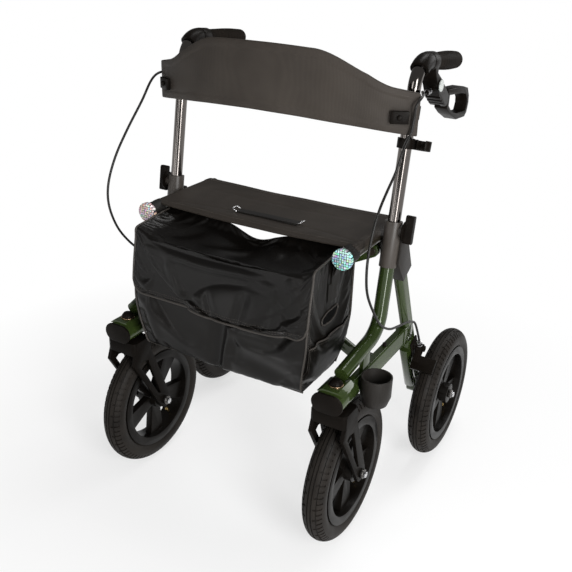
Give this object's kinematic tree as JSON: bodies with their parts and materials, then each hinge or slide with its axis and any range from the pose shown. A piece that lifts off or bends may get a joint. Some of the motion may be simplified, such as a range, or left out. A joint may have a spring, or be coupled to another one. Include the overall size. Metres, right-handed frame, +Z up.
{
  "type": "all terrain rollator",
  "caption": "Folding walking frame on large air tyres with swivelling front wheels, hand brakes, seat, bag and backrest.",
  "frame": {"origin": "on the ground, in the middle between the wheels", "axes": "+Z up, -Y to the front as the user walks, +X to the user's left"},
  "size_m": [0.682, 0.6898, 0.9569],
  "materials": {
    "green_paint": "gloss paint",
    "black_plastic": "satin",
    "black_metal": "satin paint",
    "rim_plastic": "satin",
    "tyre_rubber": "matt",
    "grip_rubber": "matt",
    "bronze_tube": "dark polished",
    "steel": "satin",
    "cable_jacket": "satin",
    "reflective": "reflective",
    "cloth": "woven"
  },
  "bodies": {
    "left_frame": {"left_front_leg": "green_paint", "left_caster_head": "green_paint", "left_head_caps": "black_plastic", "left_leg_sleeve": "black_plastic", "left_leg_joint": "black_plastic", "left_rear_leg": "green_paint", "left_lower_rail": "green_paint", "left_brake_bracket": "black_plastic", "left_rear_axle": "steel", "left_brake_cable": "cable_jacket", "stick_cup": "black_plastic"},
    "left_handle": {"left_handle_tube": "bronze_tube", "left_hand_grip": "grip_rubber", "left_brake_housing": "black_plastic", "left_backrest_bracket": "black_plastic", "backrest": "cloth", "stick_clip": "black_plastic"},
    "left_lever": {"left_brake_lever": "black_plastic"},
    "left_knob": {"left_height_knob": "black_plastic"},
    "left_shoe": {"left_brake_arm": "black_plastic"},
    "left_caster": {"left_fork": "black_metal", "left_front_axle": "steel"},
    "left_front_wheel": {"left_front_rim": "rim_plastic", "left_front_tyre": "tyre_rubber"},
    "left_rear_wheel": {"left_rear_rim": "rim_plastic", "left_rear_tyre": "tyre_rubber"},
    "left_seat": {"left_seat_rail": "black_metal", "left_reflector": "reflective", "seat_fabric": "cloth", "seat_strap": "cloth", "bag": "cloth", "bag_flap": "cloth"},
    "right_frame": {"right_front_leg": "green_paint", "right_caster_head": "green_paint", "right_head_caps": "black_plastic", "right_leg_sleeve": "black_plastic", "right_leg_joint": "black_plastic", "right_rear_leg": "green_paint", "right_lower_rail": "green_paint", "right_brake_bracket": "black_plastic", "right_rear_axle": "steel", "right_brake_cable": "cable_jacket"},
    "right_handle": {"right_handle_tube": "bronze_tube", "right_hand_grip": "grip_rubber", "right_brake_housing": "black_plastic", "right_backrest_bracket": "black_plastic"},
    "right_lever": {"right_brake_lever": "black_plastic"},
    "right_knob": {"right_height_knob": "black_plastic"},
    "right_shoe": {"right_brake_arm": "black_plastic"},
    "right_caster": {"right_fork": "black_metal", "right_front_axle": "steel"},
    "right_front_wheel": {"right_front_rim": "rim_plastic", "right_front_tyre": "tyre_rubber"},
    "right_rear_wheel": {"right_rear_rim": "rim_plastic", "right_rear_tyre": "tyre_rubber"},
    "right_seat": {"right_seat_rail": "black_metal", "right_reflector": "reflective"},
    "front_bar": {"cross_bar_front": "green_paint", "cross_pivot": "steel"},
    "rear_bar": {"cross_bar_rear": "green_paint"}
  },
  "joints": [
    {"name": "fold", "type": "hinge", "parent": "left_frame", "child": "front_bar", "pos_m": [0.221, -0.092, 0.35], "axis": [0, 1, 0], "range_deg": [0, 44], "deforming": ["seat_fabric", "seat_strap", "bag", "bag_flap", "backrest"]},
    {"name": "bars_cross", "type": "hinge", "parent": "front_bar", "child": "rear_bar", "pos_m": [0, -0.074, 0.4655], "axis": [0, 1, 0], "range_deg": [-88.5, 0.5]},
    {"name": "right_frame_stays_level", "type": "hinge", "parent": "rear_bar", "child": "right_frame", "pos_m": [-0.221, -0.074, 0.35], "axis": [0, 1, 0], "range_deg": [-0.5, 44.5]},
    {"name": "left_rail_stays_level", "type": "hinge", "parent": "rear_bar", "child": "left_seat", "pos_m": [0.221, -0.074, 0.581], "axis": [0, 1, 0], "range_deg": [-0.5, 44.5]},
    {"name": "right_rail_stays_level", "type": "hinge", "parent": "front_bar", "child": "right_seat", "pos_m": [-0.221, -0.092, 0.581], "axis": [0, 1, 0], "range_deg": [-44.5, 0.5]},
    {"name": "left_handle_height", "type": "slide", "parent": "left_frame", "child": "left_handle", "axis": [0, 0.1478, 0.989], "range_m": [-0.055, 0.045], "deforming": ["left_brake_cable", "right_brake_cable"]},
    {"name": "left_lever_squeeze", "type": "hinge", "parent": "left_handle", "child": "left_lever", "pos_m": [0.256, 0.10983, 0.84831], "axis": [1, 0, 0], "range_deg": [0, 14], "stiffness_Nm_per_rad": 2, "springref_deg": -5.73},
    {"name": "left_brake_press", "type": "hinge", "parent": "left_frame", "child": "left_shoe", "pos_m": [0.25196, 0.10786, 0.29829], "axis": [1, 0, 0], "range_deg": [0, 2.9]},
    {"name": "left_knob_turn", "type": "hinge", "parent": "left_frame", "child": "left_knob", "pos_m": [0.256, -0.0706, 0.63175], "axis": [1, 0, 0], "continuous": true},
    {"name": "left_caster_swivel", "type": "hinge", "parent": "left_frame", "child": "left_caster", "pos_m": [0.247, -0.26, 0.35], "axis": [0, 0, 1], "continuous": true},
    {"name": "left_front_roll", "type": "hinge", "parent": "left_caster", "child": "left_front_wheel", "pos_m": [0.247, -0.192, 0.153], "axis": [1, 0, 0], "continuous": true},
    {"name": "left_rear_roll", "type": "hinge", "parent": "left_frame", "child": "left_rear_wheel", "pos_m": [0.309, 0.192, 0.153], "axis": [1, 0, 0], "continuous": true},
    {"name": "right_handle_height", "type": "slide", "parent": "right_frame", "child": "right_handle", "axis": [0, 0.1478, 0.989], "range_m": [-0.0555, 0.0455], "deforming": ["left_brake_cable", "right_brake_cable"]},
    {"name": "right_lever_squeeze", "type": "hinge", "parent": "right_handle", "child": "right_lever", "pos_m": [-0.256, 0.10983, 0.84831], "axis": [1, 0, 0], "range_deg": [0, 14], "stiffness_Nm_per_rad": 2, "springref_deg": -5.73},
    {"name": "right_brake_press", "type": "hinge", "parent": "right_frame", "child": "right_shoe", "pos_m": [-0.25196, 0.10786, 0.29829], "axis": [1, 0, 0], "range_deg": [0, 2.9]},
    {"name": "right_knob_turn", "type": "hinge", "parent": "right_frame", "child": "right_knob", "pos_m": [-0.256, -0.0706, 0.63175], "axis": [-1, 0, 0], "continuous": true},
    {"name": "right_caster_swivel", "type": "hinge", "parent": "right_frame", "child": "right_caster", "pos_m": [-0.247, -0.26, 0.35], "axis": [0, 0, 1], "continuous": true},
    {"name": "right_front_roll", "type": "hinge", "parent": "right_caster", "child": "right_front_wheel", "pos_m": [-0.247, -0.192, 0.153], "axis": [1, 0, 0], "continuous": true},
    {"name": "right_rear_roll", "type": "hinge", "parent": "right_frame", "child": "right_rear_wheel", "pos_m": [-0.309, 0.192, 0.153], "axis": [1, 0, 0], "continuous": true}
  ],
  "couplings": [
    {"joint": "bars_cross", "follows": "fold", "ratio": -2},
    {"joint": "right_frame_stays_level", "follows": "fold", "ratio": 1},
    {"joint": "left_rail_stays_level", "follows": "fold", "ratio": 1},
    {"joint": "right_rail_stays_level", "follows": "fold", "ratio": -1},
    {"joint": "left_brake_press", "follows": "left_lever_squeeze", "ratio": 0.2071},
    {"joint": "right_brake_press", "follows": "right_lever_squeeze", "ratio": 0.2071},
    {"joint": "right_handle_height", "follows": "left_handle_height", "ratio": 1}
  ]
}
